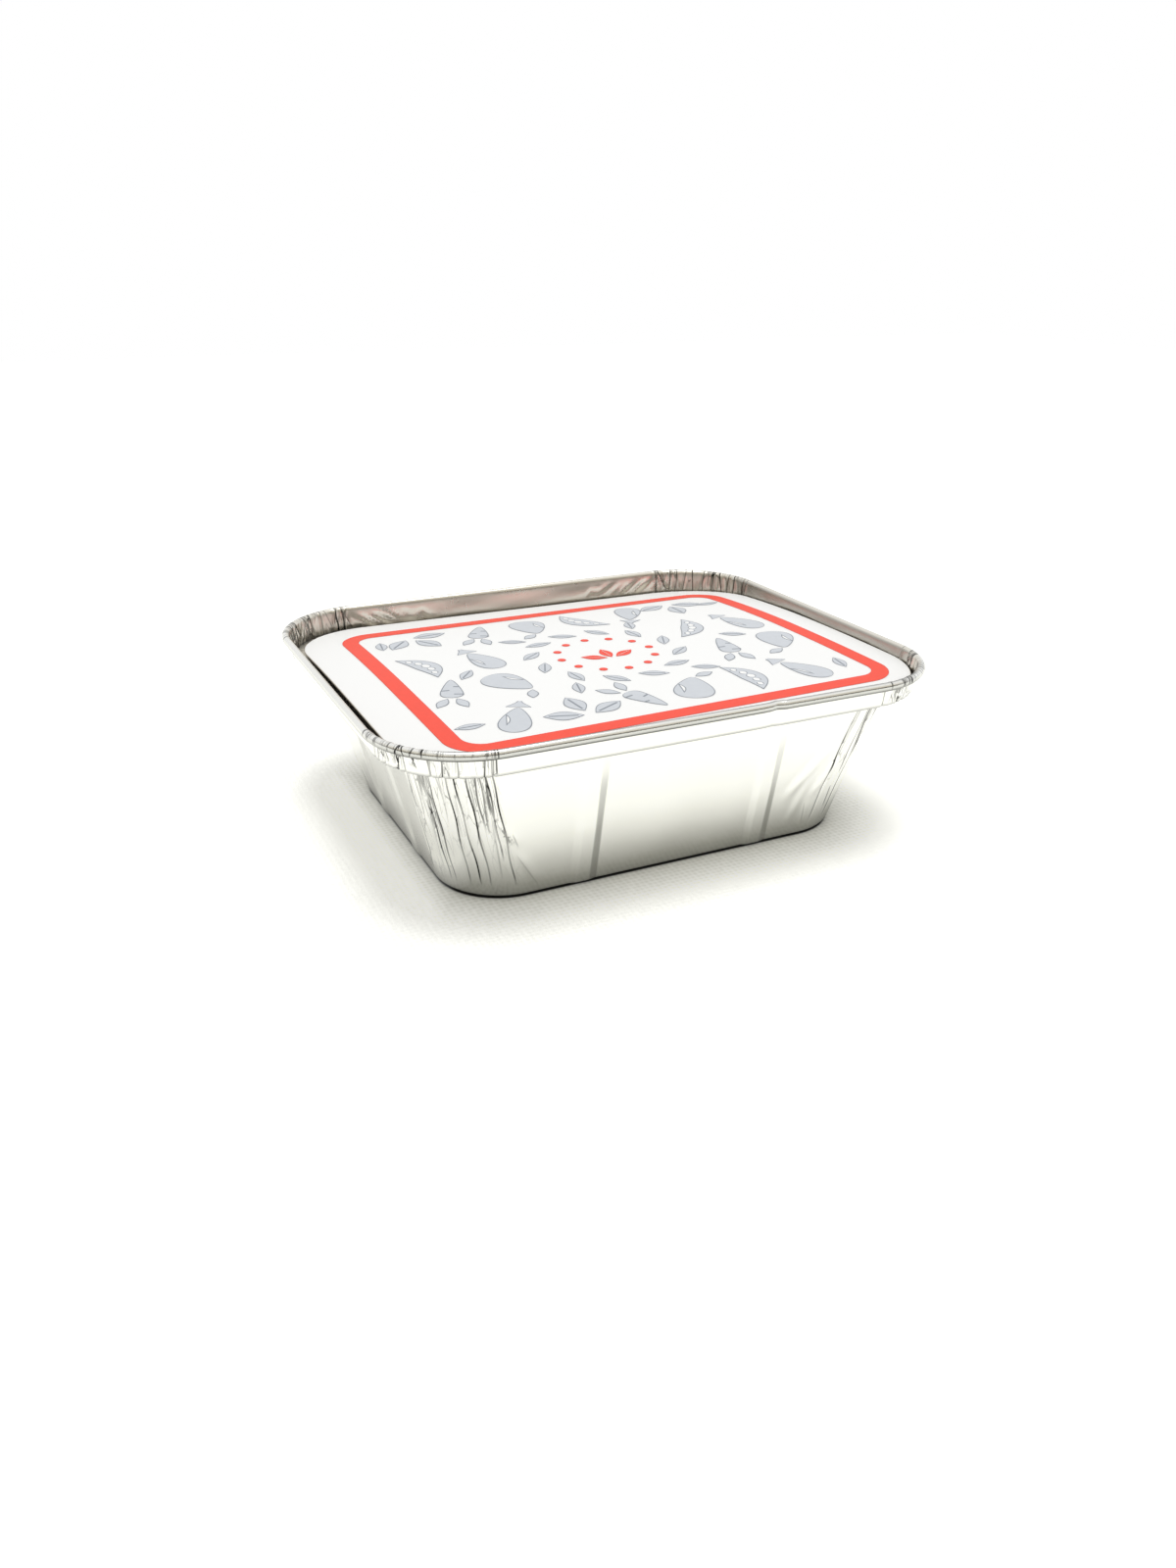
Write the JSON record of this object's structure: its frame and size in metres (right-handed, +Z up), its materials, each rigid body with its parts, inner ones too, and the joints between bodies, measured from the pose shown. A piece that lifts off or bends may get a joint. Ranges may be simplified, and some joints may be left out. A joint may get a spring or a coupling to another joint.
{
  "type": "foil food container",
  "caption": "Rectangular pressed-foil food container with ribbed walls, gathered corners, a ledge and rolled rim, and a bowed card lid with a red border resting inside the rim.",
  "frame": {"origin": "middle of the base's underside", "axes": "+X along the long side, +Y along the short side, +Z up"},
  "size_m": [0.145, 0.12, 0.0445],
  "materials": {
    "foil": "bright pressed foil",
    "card": "white coated card",
    "red_ink": "printed ink on coated card",
    "grey_ink": "printed ink on coated card"
  },
  "bodies": {
    "root": {"foil_tray": "foil", "card_lid": "card", "red_print": "red_ink", "grey_print": "grey_ink"}
  },
  "joints": []
}
